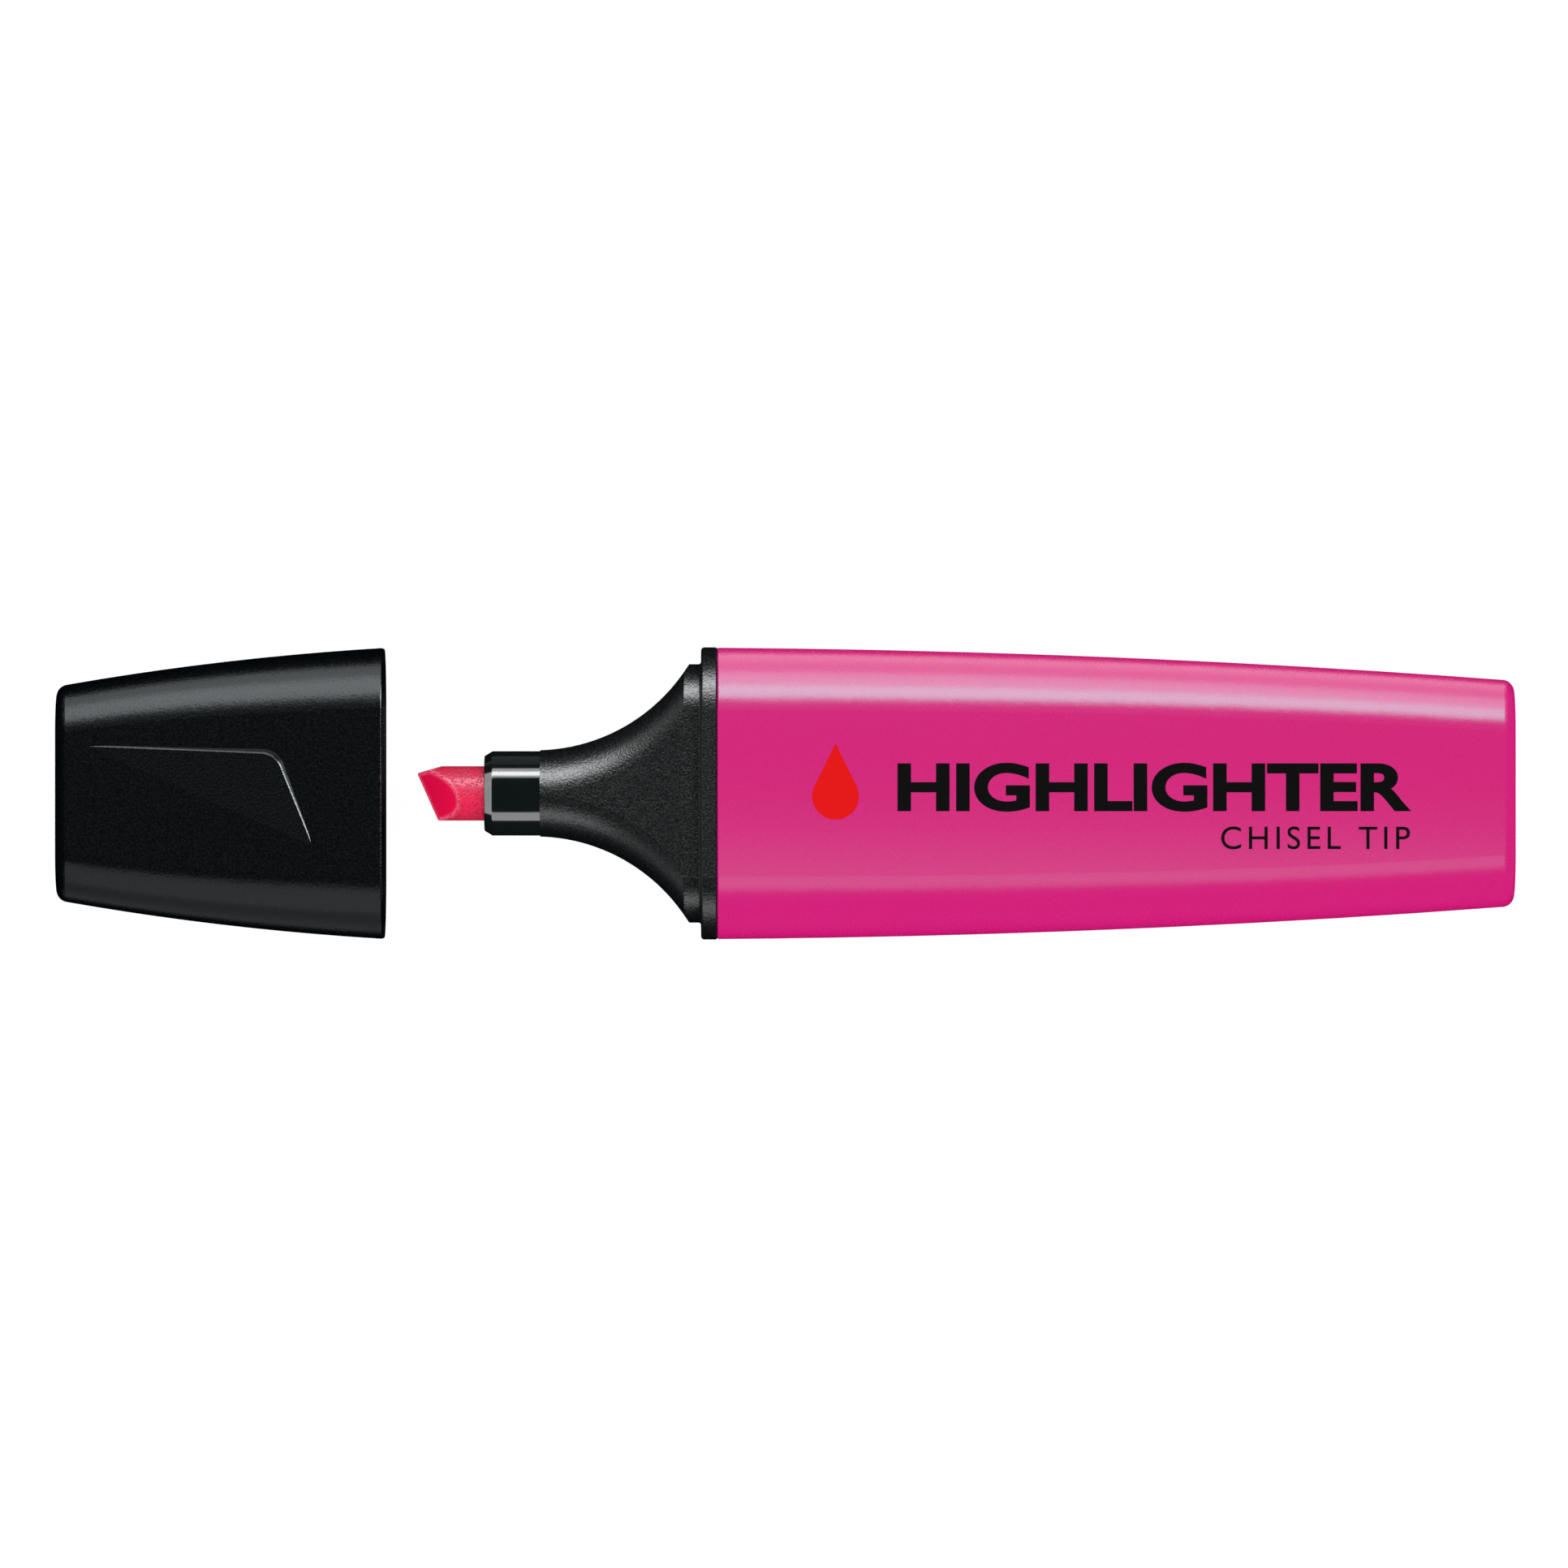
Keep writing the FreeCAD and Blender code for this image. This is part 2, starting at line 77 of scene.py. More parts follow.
class Wire:
    """A node's output that can be used in Python expressions, where it adds Math nodes."""

    def __init__(self, graph: "Graph", socket: bpy.types.NodeSocket) -> None:
        """Keep the graph and the socket."""
        self.graph = graph
        self.socket = socket

    def _math(self, operation: str, *values: "Wire | float") -> "Wire":
        """One Math node on up to three values."""
        sockets = dict(enumerate(values))
        return self.graph.wire("ShaderNodeMath", {"operation": operation}, sockets)

    def __add__(self, other: "Wire | float") -> "Wire":
        """The sum of two values."""
        return self._math("ADD", self, other)

    def __radd__(self, other: float) -> "Wire":
        """The sum with a number on the left."""
        return self._math("ADD", other, self)

    def __sub__(self, other: "Wire | float") -> "Wire":
        """The difference of two values."""
        return self._math("SUBTRACT", self, other)

    def __rsub__(self, other: float) -> "Wire":
        """The difference from a number on the left."""
        return self._math("SUBTRACT", other, self)

    def __mul__(self, other: "Wire | float") -> "Wire":
        """The product of two values."""
        return self._math("MULTIPLY", self, other)

    def __rmul__(self, other: float) -> "Wire":
        """The product with a number on the left."""
        return self._math("MULTIPLY", other, self)

    def __abs__(self) -> "Wire":
        """The value without its sign."""
        return self._math("ABSOLUTE", self)


class Graph:
    """The node tree of one material, with its Principled shader."""

    def __init__(self, name: str) -> None:
        """Start a material that holds only its shader and output.

        Args:
            name: The material's name.
        """
        self.material = bpy.data.materials.new(name)
        self.material.use_nodes = True
        self.nodes = self.material.node_tree.nodes
        self.links = self.material.node_tree.links
        self.shader = self.nodes["Principled BSDF"]
        self.place = self.wire("ShaderNodeTexCoord", {}, {}, "Object")

    def add(
        self, kind: str, settings: dict[str, object], sockets: dict[str | int, object]
    ) -> bpy.types.Node:
        """Add one node.

        Args:
            kind: The node's type name.
            settings: Attributes of the node, set before its sockets.
            sockets: A value or a Wire for each input, by name or number.

        Returns:
            The new node.
        """
        node = self.nodes.new(kind)
        for name, value in settings.items():
            setattr(node, name, value)
        for name, value in sockets.items():
            self.put(node, name, value)
        return node

    def wire(
        self,
        kind: str,
        settings: dict[str, object],
        sockets: dict[str | int, object],
        output: str | int = 0,
    ) -> Wire:
        """Add one node and return one of its outputs as a Wire."""
        return Wire(self, self.add(kind, settings, sockets).outputs[output])

    def put(self, node: bpy.types.Node, name: str | int, value: object) -> None:
        """Link a Wire to a node's input, or set a plain value on it."""
        if isinstance(value, Wire):
            self.links.new(value.socket, node.inputs[name])
        else:
            node.inputs[name].default_value = value

    def shade(self, **values: object) -> None:
        """Set or link inputs of the shader, named with underscores for spaces."""
        for name, value in values.items():
            self.put(self.shader, name.replace("_", " "), value)

    def noise(self, size: float, detail: float = 2.0) -> Wire:
        """Even noise from 0 to 1 whose features are about a size across."""
        sockets = {"Vector": self.place, "Scale": 1 / size, "Detail": detail}
        return self.wire("ShaderNodeTexNoise", {}, sockets, 0)

    def mix(self, share: "Wire | float", first: object, second: object) -> Wire:
        """A colour between two colours."""
        settings = {"data_type": "RGBA"}
        sockets = {MIX_SHARE: share, MIX_FIRST: first, MIX_SECOND: second}
        return self.wire("ShaderNodeMix", settings, sockets, MIX_RESULT)

    def stretch(self, value: Wire, low: float, high: float) -> Wire:
        """A value mapped so that low becomes 0 and high becomes 1, held between them."""
        settings = {"clamp": True}
        sockets = {"Value": value, "From Min": low, "From Max": high}
        return self.wire("ShaderNodeMapRange", settings, sockets)

    def bump(self, height: Wire, depth: float, normal: Wire | None = None) -> Wire:
        """A bumped normal from a height of 0 to 1 that stands for a depth in metres."""
        sockets = {"Strength": 1.0, "Distance": depth, "Height": height}
        if normal is not None:
            sockets["Normal"] = normal
        return self.wire("ShaderNodeBump", {}, sockets, "Normal")

    def vector(self, operation: str, *values: object) -> Wire:
        """One Vector Math node."""
        settings = {"operation": operation}
        return self.wire("ShaderNodeVectorMath", settings, dict(enumerate(values)))

    def axis(self, vector: Wire, name: str) -> Wire:
        """One component, X, Y or Z, of a vector."""
        return self.wire("ShaderNodeSeparateXYZ", {}, {0: vector}, name)

    def cosine(self, direction: Wire | Vector) -> Wire:
        """The cosine between the surface and a direction, 1 where the surface faces it."""
        normal = self.wire("ShaderNodeNewGeometry", {}, {}, "True Normal")
        settings = {"operation": "DOT_PRODUCT"}
        return self.wire("ShaderNodeVectorMath", settings, {0: direction, 1: normal}, "Value")

    def edge(self, radius: float) -> Wire:
        """A value that rises from 0 near the surface's edges, within a radius of them."""
        settings = {"samples": BEVEL_SAMPLES}
        return 1 - self.cosine(self.wire("ShaderNodeBevel", settings, {"Radius": radius}))


class Grain(Enum):
    """Mould textures: the size of the grain and its depth, in metres."""

    SATIN = (0.16 * MM, 0.005 * MM)
    MATT = (0.20 * MM, 0.018 * MM)
    SPARKED = (0.20 * MM, 0.044 * MM)
    POLISHED = (1.5 * MM, 0.0002 * MM)

    @property
    def size(self) -> float:
        """How far across one grain is."""
        return self.value[0]

    @property
    def depth(self) -> float:
        """How deep the texture is."""
        return self.value[1]


@dataclass(frozen=True)
class MouldedPlastic:
    """Injection-moulded plastic: its colour, gloss and mould texture."""

    name: str
    colour: Colour
    roughness: float
    grain: Grain
    specular: float = 0.5
    tint: Colour = (1.0, 1.0, 1.0)
    mottle: float = 0.06
    spread: float = 0.08  # how far the roughness varies from grain to grain
    crown: float = 0.0  # how fast the broad faces tilt across the width, per metre
    cloud_size: float = 4 * MM
    cloud_share: float = 0.2  # of the mottle that is in clouds and not in grains
    mottle_range: tuple[float, float] = (0.28, 0.72)

    def material(self) -> bpy.types.Material:
        """Make the material.

        Returns:
            A material whose colour, gloss and relief vary with the mould's grain.
        """
        graph = Graph(self.name)
        grain = graph.noise(self.grain.size, FINE_DETAIL)
        cloud = graph.noise(self.cloud_size)
        dark = tuple(channel * (1 - 2 * self.mottle) for channel in self.colour)
        mottle = (1 - self.cloud_share) * grain + self.cloud_share * cloud
        share = graph.stretch(mottle, *self.mottle_range)
        normal = self.crowned(graph) if self.crown else None
        graph.shade(
            Base_Color=graph.mix(share, (*dark, 1), (*self.colour, 1)),
            Roughness=self.roughness + self.spread * (grain - 0.5),
            Specular_IOR_Level=self.specular,
            Specular_Tint=(*self.tint, 1),
            Normal=graph.bump(grain, self.grain.depth, normal),
        )
        return graph.material

    def crowned(self, graph: Graph) -> Wire:
        """The surface's normal with the slight crown of a moulded broad face."""
        normal = graph.wire("ShaderNodeNewGeometry", {}, {}, "Normal")
        tilt = self.crown * graph.axis(graph.place, "Y") * abs(graph.axis(normal, "Z"))
        lean = graph.wire("ShaderNodeCombineXYZ", {}, {"Y": tilt})
        return graph.vector("NORMALIZE", graph.vector("ADD", normal, lean))


@dataclass(frozen=True)
class PadInk:
    """Pad-printed ink: a thin, even, slightly glossy film."""

    name: str
    colour: Colour
    speckle_size: float = 0.08 * MM
    speckle_depth: float = 0.001 * MM
    speckle_lift: float = 0.001  # how much lighter the speckles are
    roughness: float = 0.3
    spread: float = 0.1
    specular: float = 0.08

    def material(self) -> bpy.types.Material:
        """Make the material."""
        graph = Graph(self.name)
        speckle = graph.noise(self.speckle_size)
        lift = tuple(channel + self.speckle_lift for channel in self.colour)
        graph.shade(
            Base_Color=graph.mix(speckle, (*self.colour, 1), (*lift, 1)),
            Roughness=self.roughness + self.spread * speckle,
            Specular_IOR_Level=self.specular,
            Normal=graph.bump(speckle, self.speckle_depth),
        )
        return graph.material


@dataclass(frozen=True)
class InkedFelt:
    """Bonded fibre soaked in ink: pitted where it is ground round, smoother where it is cut."""

    name: str
    colour: Colour
    pale: Colour
    pit_size: float = 0.24 * MM
    pit_depth: float = 0.03 * MM
    rim_highlight_width: float = 0.6 * MM  # how wide the painted highlight along the rim of a cut is
    slant: float = 24.0  # between the chisel's edge and the pen's width
    bevel: float = 40.0  # between each bevel and the pen's broad side
    same_face: tuple[float, float] = (0.97, 0.995)  # cosines that fade a face in and out
    pit_range: tuple[float, float] = (0.36, 0.5)
    streak_range: tuple[float, float] = (0.45, 0.7)
    streak_share: float = 0.03
    cut_streaks: float = 0.6  # how much of the streaks a cut takes away
    rim_range: tuple[float, float] = (0.002, 0.03)
    rim_grain: tuple[float, float] = (0.25, 0.55)
    rim_share: float = 0.9
    pit_shade: float = 0.62  # painted shade: how much darker the pits are painted than the rest
    cut_polish: float = 0.75  # how much of the pits' look a cut takes away
    cut_relief: float = 0.2  # how much of their depth it leaves
    roughness: float = 0.3
    pit_roughness: float = 0.25  # added in the pits
    tint: Colour = (0.35, 0.9, 1.0)

    def cut_faces(self, graph: Graph) -> Wire:
        """A mask that is 1 on the chisel's two bevels and 0 elsewhere."""
        slant, bevel = math.radians(self.slant), math.radians(self.bevel)
        across = -math.sin(bevel) * Vector((math.cos(slant), math.sin(slant), 0))
        upper = across + Vector((0, 0, math.cos(bevel)))
        lower = across - Vector((0, 0, math.cos(bevel)))
        one, other = (graph.stretch(graph.cosine(face), *self.same_face) for face in (upper, lower))
        return one + other

    def material(self) -> bpy.types.Material:
        """Make the material.

        Returns:
            Felt with deep pits painted darker as shade, pale fibre ends round them and a painted
            highlight along the rim of its cuts.
        """
        graph = Graph(self.name)
        cut = self.cut_faces(graph)
        fibre = graph.noise(self.pit_size, FINE_DETAIL)
        fine = graph.noise(self.pit_size / 2)
        pits = graph.stretch(fibre, *self.pit_range)
        streak = graph.stretch(fine, *self.streak_range)
        # Painted highlight: the rims of the chisel's cuts are painted in the pale colour.
        edge = graph.stretch(graph.edge(self.rim_highlight_width), *self.rim_range)
        rim = edge * graph.stretch(fine, *self.rim_grain)
        # Painted shade: the pits get a darker copy of the felt's colour.
        deep = tuple(channel * self.pit_shade for channel in self.colour)
        pale_share = self.streak_share * streak * (1 - self.cut_streaks * cut) + self.rim_share * rim
        body = graph.mix(pale_share, (*self.colour, 1), (*self.pale, 1))
        open_share = (1 - pits) * (1 - self.cut_polish * cut)
        relief = pits * (1 - (1 - self.cut_relief) * cut) + self.cut_relief * fine * cut
        graph.shade(
            Base_Color=graph.mix(open_share, body, (*deep, 1)),
            Roughness=self.roughness + self.pit_roughness * open_share,
            Specular_Tint=(*self.tint, 1),
            Normal=graph.bump(relief, self.pit_depth),
        )
        return graph.material


@dataclass(frozen=True)
class ClearFilm:
    """Thin clear wrapping film, faintly stained by the ink behind it."""

    name: str
    colour: Colour
    clear: float = 0.35
    ripple_size: float = 1.2 * MM
    ripple_depth: float = 0.004 * MM
    stain: float = 0.9
    roughness: float = 0.12
    spread: float = 0.08
    clear_spread: float = 0.1

    def material(self) -> bpy.types.Material:
        """Make the material."""
        graph = Graph(self.name)
        ripple = graph.noise(self.ripple_size)
        stained = tuple(channel * self.stain for channel in self.colour)
        graph.shade(
            Base_Color=graph.mix(ripple, (*self.colour, 1), (*stained, 1)),
            Roughness=self.roughness + self.spread * ripple,
            Alpha=self.clear + self.clear_spread * ripple,
            Normal=graph.bump(ripple, self.ripple_depth),
        )
        return graph.material


Finish = MouldedPlastic | PadInk | InkedFelt | ClearFilm

HIGHLIGHT_TINT = (0.08, 1.0, 0.98)
COOL_TINT = (0.9, 0.97, 1.0)
NEUTRAL_TINT = (0.97, 0.99, 1.0)
MAGENTA = MouldedPlastic(
    "magenta_shell",
    (0.71, 0.0, 0.196),
    roughness=0.27,
    grain=Grain.SATIN,
    specular=0.35,
    tint=HIGHLIGHT_TINT,
    mottle=0.02,
    crown=12.0,
)
CAP_BLACK = MouldedPlastic(
    "cap_black",
    (0.0006, 0.0021, 0.0032),
    roughness=0.24,
    grain=Grain.MATT,
    tint=COOL_TINT,
    spread=0.3,
)
SECTION_BLACK = MouldedPlastic(
    "section_black",
    (0.0035, 0.006, 0.007),
    roughness=0.33,
    grain=Grain.SPARKED,
    specular=0.6,
    tint=NEUTRAL_TINT,
    mottle=0.2,
    spread=0.45,
)
NOZZLE_BLACK = MouldedPlastic("nozzle_black", (0.006, 0.009, 0.0095), 0.09, Grain.POLISHED)
LINER_BLACK = MouldedPlastic("liner_black", (0.012, 0.013, 0.014), 0.4, Grain.SATIN)
NIB_FELT = InkedFelt("nib_felt", (0.76, 0.002, 0.058), (0.96, 0.16, 0.27))
CORE_FIBRE = InkedFelt("core_fibre", (0.74, 0.03, 0.15), (0.9, 0.25, 0.35), pit_size=0.1 * MM)
CLEAR_FILM = ClearFilm("clear_film", (0.9, 0.86, 0.88))
BLACK_INK = PadInk("print_black", (0.0012, 0.0012, 0.0016))
RED_INK = PadInk("print_red", (0.80, 0.0, 0.0))


def dress(piece: bpy.types.Object, finish: Finish) -> bpy.types.Object:
    """Give a piece one finish.

    Args:
        piece: A frame node or a piece built here.
        finish: The finish that makes its material.

    Returns:
        The piece.
    """
    piece.data.materials.clear()
    piece.data.materials.append(finish.material())
    return piece


@dataclass
class SubAssembly:
    """Frame nodes that keep their meshes, each with its finish."""

    finishes: dict[str, Finish]

    def build(self) -> list[bpy.types.Object]:
        """Dress every node.

        Returns:
            The dressed nodes.
        """
        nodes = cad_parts
        return [dress(nodes[name], finish) for name, finish in self.finishes.items()]


@dataclass
class Pen(SubAssembly):
    """The writing body: barrel, front section, nozzle, nib and reservoir."""

    finishes: dict[str, Finish] = field(
        default_factory=lambda: {
            "barrel": MAGENTA,
            "front_section": SECTION_BLACK,
            "nozzle": NOZZLE_BLACK,
            "nib": NIB_FELT,
            "reservoir_core": CORE_FIBRE,
            "reservoir_film": CLEAR_FILM,
        }
    )


@dataclass
class Cap(SubAssembly):
    """The pulled-off cap and its liner."""

    finishes: dict[str, Finish] = field(
        default_factory=lambda: {"cap_shell": CAP_BLACK, "cap_liner": LINER_BLACK}
    )


@dataclass
class Printing:
    """Generic printing on the barrel's upper face: two words and a plain ink drop.

    Places are measured along the pen from the barrel's open rim, and across it from the axis.
    """

    lift: float = 0.02 * MM  # how far the ink stands proud
    sink: float = 0.02 * MM  # and how far its solid reaches into the shell
    word: str = "HIGHLIGHTER"
    word_span: tuple[float, float] = (16.6 * MM, 63.9 * MM)
    word_height: float = 4.5 * MM
    word_middle: float = 0.57 * MM
    word_weight: float = 0.035
    note: str = "CHISEL TIP"
    note_span: tuple[float, float] = (46.4 * MM, 63.8 * MM)
    note_height: float = 2.1 * MM
    note_middle: float = -4.09 * MM
    note_weight: float = 0.0
    note_spacing: float = 1.25
    drop_place: tuple[float, float] = (10.9 * MM, -0.25 * MM)
    drop_radius: float = 2.15 * MM
    drop_height: float = 7.0 * MM
    drop_steps: int = 48

    def build(self) -> list[bpy.types.Object]:
        """Build, lay and dress each printed mark.

        Returns:
            The printed marks.
        """
        word = self.text("word_print", self.word, self.word_weight, 1.0)
        self.fit(word, self.word_span, self.word_height, self.word_middle)
        note = self.text("note_print", self.note, self.note_weight, self.note_spacing)
        self.fit(note, self.note_span, self.note_height, self.note_middle)
        drop = self.drop("drop_print")
        prints = ((word, BLACK_INK), (note, BLACK_INK), (drop, RED_INK))
        for piece, ink in prints:
            self.lay(piece)
            dress(piece, ink)
            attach(piece, "pen")
        return [piece for piece, _ in prints]

    def text(
        self, name: str, words: str, weight: float, spacing: float
    ) -> bpy.types.Object:
        """Build some words in the built-in typeface as a thin closed solid.

        Args:
            name: The piece's name.
            words: What it says.
            weight: How much bolder the strokes are made, in units of the type size.
            spacing: The spacing between letters, 1 for normal.

        Returns:
            A piece from z -1 to z 1, at the size of the type.
        """
        curve = bpy.data.curves.new(name, "FONT")
        curve.body = words
        curve.offset = weight
        curve.space_character = spacing
        curve.extrude = 1.0
        source = bpy.data.objects.new(name + "_curve", curve)
        bpy.context.scene.collection.objects.link(source)
        bpy.context.view_layer.update()
        depsgraph = bpy.context.evaluated_depsgraph_get()
        mesh = bpy.data.meshes.new_from_object(source.evaluated_get(depsgraph))
        bpy.data.objects.remove(source)
        form = bmesh.new()
        form.from_mesh(mesh)
        bmesh.ops.remove_doubles(form, verts=form.verts, dist=WELD)
        form.to_mesh(mesh)
        form.free()
        return self.place(name, mesh)

    def drop(self, name: str) -> bpy.types.Object:
        """Build an ink drop: a round foot whose sides rise in straight tangents to a point.

        Args:
            name: The piece's name.

        Returns:
            A piece from z -1 to z 1, in its place on the face.
        """
        across = CAD_RIM + self.drop_place[0]
        up = self.drop_height - self.drop_radius
        opening = math.asin(self.drop_radius / up)
        start, end = math.pi - opening, 2 * math.pi + opening
        outline = [(0.0, up)]
        for step in range(self.drop_steps + 1):
            angle = start + (end - start) * step / self.drop_steps
            outline.append((self.drop_radius * math.cos(angle), self.drop_radius * math.sin(angle)))
        form = bmesh.new()
        rings = []
        for z in (-1.0, 1.0):
            middle = self.drop_place[1]
            rings.append([form.verts.new((across + x, middle + y, z)) for x, y in outline])
        form.faces.new(reversed(rings[0]))
        form.faces.new(rings[1])
        for low, high, next_low, next_high in zip(
            rings[0], rings[1], rings[0][1:] + rings[0][:1], rings[1][1:] + rings[1][:1]
        ):
            form.faces.new((low, next_low, next_high, high))
        mesh = bpy.data.meshes.new(name)
        form.to_mesh(mesh)
        form.free()
        return self.place(name, mesh)

    def place(self, name: str, mesh: bpy.types.Mesh) -> bpy.types.Object:
        """Make a mesh an object of the scene."""
        piece = bpy.data.objects.new(name, mesh)
        bpy.context.scene.collection.objects.link(piece)
        return piece

    def fit(
        self,
        piece: bpy.types.Object,
        span: tuple[float, float],
        height: float,
        middle: float,
    ) -> None:
        """Scale a text to its width and height, and move it to its place.

        Args:
            piece: The text.
            span: Where it starts and ends, along the pen from the barrel's rim.
            height: The height of its letters.
            middle: Where the middle of its letters is, across the pen.
        """
        xs = [vertex.co.x for vertex in piece.data.vertices]
        ys = [vertex.co.y for vertex in piece.data.vertices]
        across = (span[1] - span[0]) / (max(xs) - min(xs))
        up = height / (max(ys) - min(ys))
        for vertex in piece.data.vertices:
            vertex.co.x = CAD_RIM + span[0] + (vertex.co.x - min(xs)) * across
            vertex.co.y = middle + (vertex.co.y - (min(ys) + max(ys)) / 2) * up

    def lay(self, piece: bpy.types.Object) -> None:
        """Drop a flat solid onto the barrel's upper face, sunk in by its lower side."""
        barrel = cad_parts["barrel"]
        tree = BVHTree.FromPolygons(
            [vertex.co for vertex in barrel.data.vertices],
            [polygon.vertices for polygon in barrel.data.polygons],
        )
        above = 2 * CAD_BOX[1][2]
        for vertex in piece.data.vertices:
            hit = tree.ray_cast(Vector((vertex.co.x, vertex.co.y, above)), Vector((0, 0, -1)))
            vertex.co.z = hit[0].z + (self.lift if vertex.co.z > 0 else -self.sink)


@dataclass(frozen=True)
class SoftBox:
    """A long rectangular studio light that lights one group of pieces."""

    name: str
    toward: tuple[float, float]  # the side that it is on, as X and Y
    span: tuple[float, float]  # where it starts and ends, from straight above the pen
    radiance: float
    lit: tuple[str, ...]
    length: float = 1.5
    distance: float = 0.9
    through: bool = False  # whether it shines past the pieces that it doesn't light
    colours: bool = False  # whether it lights colour and not gloss

    def build(self, target: Vector, blockers: bpy.types.Collection) -> None:
        """Place the light so that it faces a target.

        Args:
            target: The place that the light faces.
            blockers: The pieces that cast shadows in it, which leaves the floor out.
        """
        low, high = (math.radians(angle) for angle in self.span)
        height = 2 * self.distance * math.tan((high - low) / 2)
        flat = Vector((*self.toward, 0)).normalized()
        angle = (low + high) / 2
        back = flat * math.sin(angle) + Vector((0, 0, math.cos(angle)))
        side = Vector((0, 0, 1)).cross(back).normalized()
        turn = Matrix((side, back.cross(side), back)).transposed().to_4x4()
        lamp = area_lamp(self.name, self.length, height, self.radiance)
        lamp.matrix_world = Matrix.Translation(target + back * self.distance) @ turn
        lamp.visible_diffuse = self.colours
        lamp.visible_glossy = not self.colours
        group = bpy.data.collections.new(self.name + "_lit")
        for name in self.lit:
            group.objects.link(bpy.data.objects[name])
        lamp.light_linking.receiver_collection = group
        lamp.light_linking.blocker_collection = group if self.through else blockers


def area_lamp(name: str, length: float, height: float, radiance: float) -> bpy.types.Object:
    """Add a rectangular light that no camera sees.

    Args:
        name: The light's name.
        length: Its size along X.
        height: Its size along Y.
        radiance: How bright its surface is.

    Returns:
        The light, at the origin, shining down.
    """
    lamp = bpy.data.lights.new(name, "AREA")
    lamp.shape = "RECTANGLE"
    lamp.size = length
    lamp.size_y = height
    lamp.energy = radiance * math.pi * length * height
    obj = bpy.data.objects.new(name, lamp)
    bpy.context.scene.collection.objects.link(obj)
    obj.visible_camera = False
    return obj


LEFT_SIDE = (0.0, 1.0)
RIGHT_SIDE = (0.0, -1.0)
CAP_END = (-1.0, 0.0)
SHELL = ("barrel", "word_print", "note_print", "drop_print")
CAP_PIECES = ("cap_shell", "cap_liner")
SECTION_PIECES = ("front_section",)
TIP_PIECES = ("nozzle",)
NIB_PIECES = ("nib",)


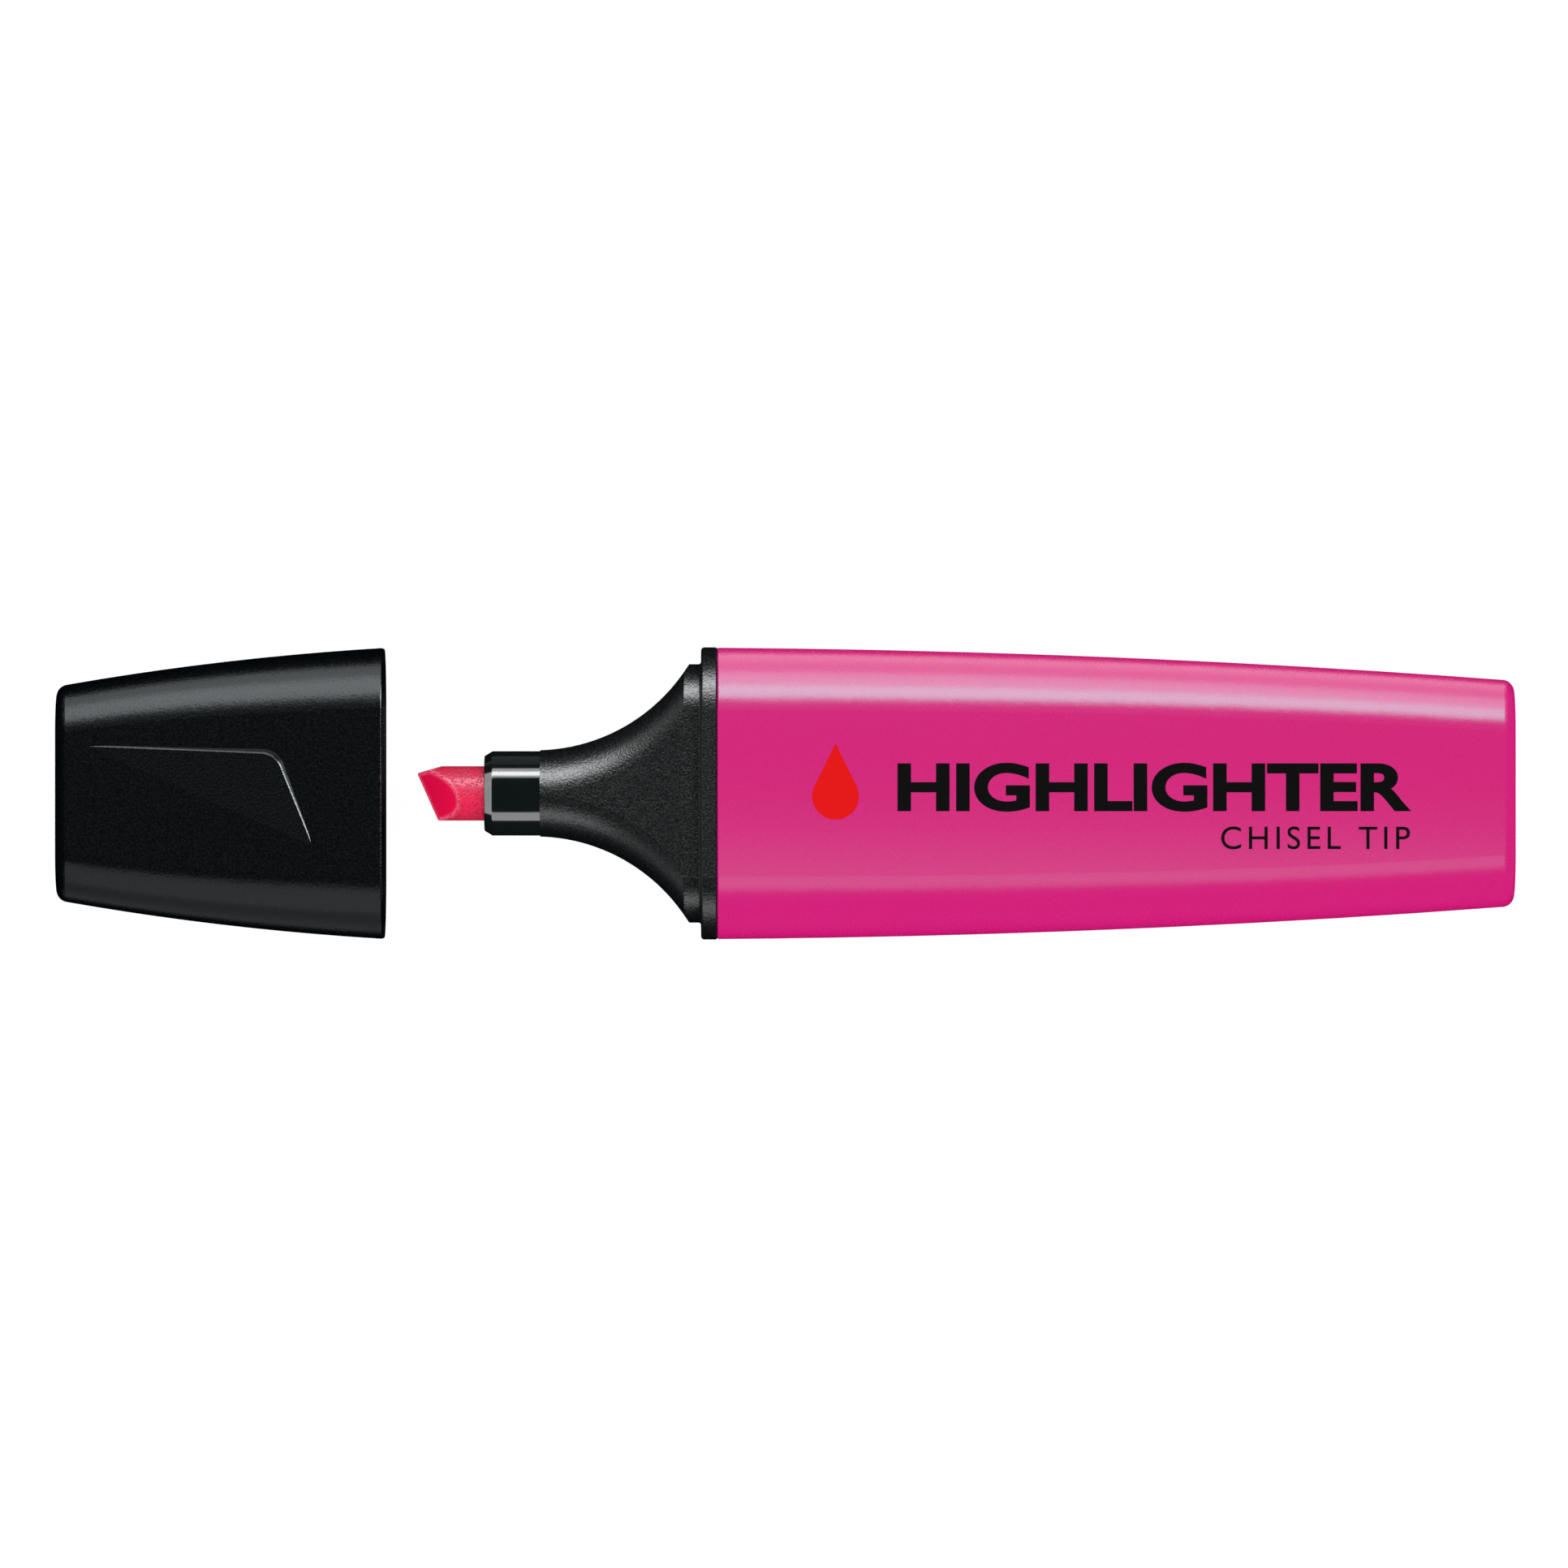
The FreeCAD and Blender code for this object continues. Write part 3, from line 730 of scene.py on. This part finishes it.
@dataclass
class Studio:
    """Pale floor, soft boxes, white surround and the overhead camera."""

    axis_height: float = 8.5 * MM
    floor_reach: float = 6.0
    floor_glow: float = 0.86  # keeps the floor white and the pen's edges crisp
    paper_size: float = 2 * MM
    paper_shades: tuple[float, float] = (0.3, 0.32)
    paper_roughness: float = 0.9
    camera_height: float = 1.40
    sensor_width: float = 36.0  # in millimetres
    clip_end: float = 50.0
    view_width: float = 145.1 * MM
    view_middle: tuple[float, float] = (-0.115 * MM, 0.87 * MM)
    boxes: tuple[SoftBox, ...] = (
        SoftBox("shell_key", LEFT_SIDE, (34, 58), 16.8, SHELL, 0.6),
        SoftBox("shell_wall", LEFT_SIDE, (58, 84), 8.4, SHELL, 0.6),
        SoftBox("shell_low_wall", LEFT_SIDE, (84, 130), 3.0, SHELL, 0.6),
        SoftBox("shell_sheen", RIGHT_SIDE, (9.5, 36), 2.9, SHELL, 0.6),
        SoftBox("cap_soft", LEFT_SIDE, (10, 24), 0.3, CAP_PIECES, 0.9),
        SoftBox("cap_key", LEFT_SIDE, (25, 64), 3.8, CAP_PIECES, 0.9),
        SoftBox("cap_wall", LEFT_SIDE, (64, 92), 1.8, CAP_PIECES, 0.9),
        SoftBox("cap_glint", (0.91, 0.41), (33, 78), 26.0, CAP_PIECES, 0.26),
        SoftBox("cap_fill", RIGHT_SIDE, (20, 72), 0.75, CAP_PIECES, 0.9),
        SoftBox("cap_low_fill", RIGHT_SIDE, (72, 125), 0.35, CAP_PIECES, 0.9),
        SoftBox("section_key", LEFT_SIDE, (33, 61), 13.4, SECTION_PIECES),
        SoftBox("section_fill", RIGHT_SIDE, (46, 70), 3.3, SECTION_PIECES),
        SoftBox("section_end", CAP_END, (72, 86), 1.2, SECTION_PIECES, through=True),
        SoftBox("tip_key_edge", LEFT_SIDE, (44, 72), 7.0, TIP_PIECES),
        SoftBox("tip_key_core", LEFT_SIDE, (50, 62), 14.0, TIP_PIECES),
        SoftBox("tip_low_band", LEFT_SIDE, (86, 122), 0.22, TIP_PIECES),
        SoftBox("tip_fill", RIGHT_SIDE, (53, 80), 5.4, TIP_PIECES),
        SoftBox("tip_end", CAP_END, (54, 86), 5.4, TIP_PIECES, through=True),
        SoftBox("nib_key", LEFT_SIDE, (35, 70), 7.0, NIB_PIECES),
        SoftBox("nib_front", CAP_END, (15, 50), 1.95, NIB_PIECES, through=True, colours=True),
    )

    def build(self) -> None:
        """Build the stage."""
        self.camera()
        self.floor()
        self.lights()
        self.world()

    def camera(self) -> None:
        """A long lens looking straight down."""
        data = bpy.data.cameras.new("camera")
        data.sensor_width = self.sensor_width
        data.lens = self.sensor_width * self.camera_height / self.view_width
        data.clip_end = self.clip_end
        obj = bpy.data.objects.new("camera", data)
        bpy.context.scene.collection.objects.link(obj)
        obj.location = (*self.view_middle, self.axis_height + self.camera_height)
        bpy.context.scene.camera = obj

    def paper(self, name: str, glow: float) -> bpy.types.Material:
        """White paper that glows, so that it stays white in the picture."""
        graph = Graph(name)
        fibre = graph.noise(self.paper_size)
        dark, light = ((shade, shade, shade, 1) for shade in self.paper_shades)
        graph.shade(
            Base_Color=graph.mix(fibre, dark, light),
            Roughness=self.paper_roughness,
            Specular_IOR_Level=0.0,
            Emission_Color=(1, 1, 1, 1),
            Emission_Strength=glow,
        )
        return graph.material

    def staged(self, name: str, form: bmesh.types.BMesh, glow: float) -> bpy.types.Object:
        """Make a stage piece that gloss doesn't mirror."""
        mesh = bpy.data.meshes.new(name)
        form.to_mesh(mesh)
        form.free()
        mesh.materials.append(self.paper(name + "_paper", glow))
        obj = bpy.data.objects.new(name, mesh)
        bpy.context.scene.collection.objects.link(obj)
        obj.visible_glossy = False
        return obj

    def floor(self) -> None:
        """A wide pale floor."""
        form = bmesh.new()
        bmesh.ops.create_grid(form, x_segments=1, y_segments=1, size=self.floor_reach)
        self.staged("floor", form, self.floor_glow)

    def lights(self) -> None:
        """Soft boxes that give each group of pieces its gloss."""
        target = Vector((0, 0, self.axis_height))
        blockers = bpy.data.collections.new("pen_pieces")
        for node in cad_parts.values():
            blockers.objects.link(node)
        for box in self.boxes:
            box.build(target, blockers)

    def world(self) -> None:
        """An even white surround, which lights colours but isn't mirrored in gloss."""
        world = bpy.data.worlds.new("surround")
        bpy.context.scene.world = world
        world.use_nodes = True
        world.node_tree.nodes["Background"].inputs["Color"].default_value = (1, 1, 1, 1)
        world.cycles_visibility.glossy = False
        bpy.context.scene.view_settings.view_transform = "Standard"


def main() -> None:
    """Build everything in order and report it."""
    logging.basicConfig(level=logging.INFO, format="%(name)s: %(message)s")
    for part in (Pen(), Cap(), Printing()):
        for piece in part.build():
            LOG.info("%s: %s", type(part).__name__, piece.name)
    Studio().build()


if __name__ == "__main__":
    main()
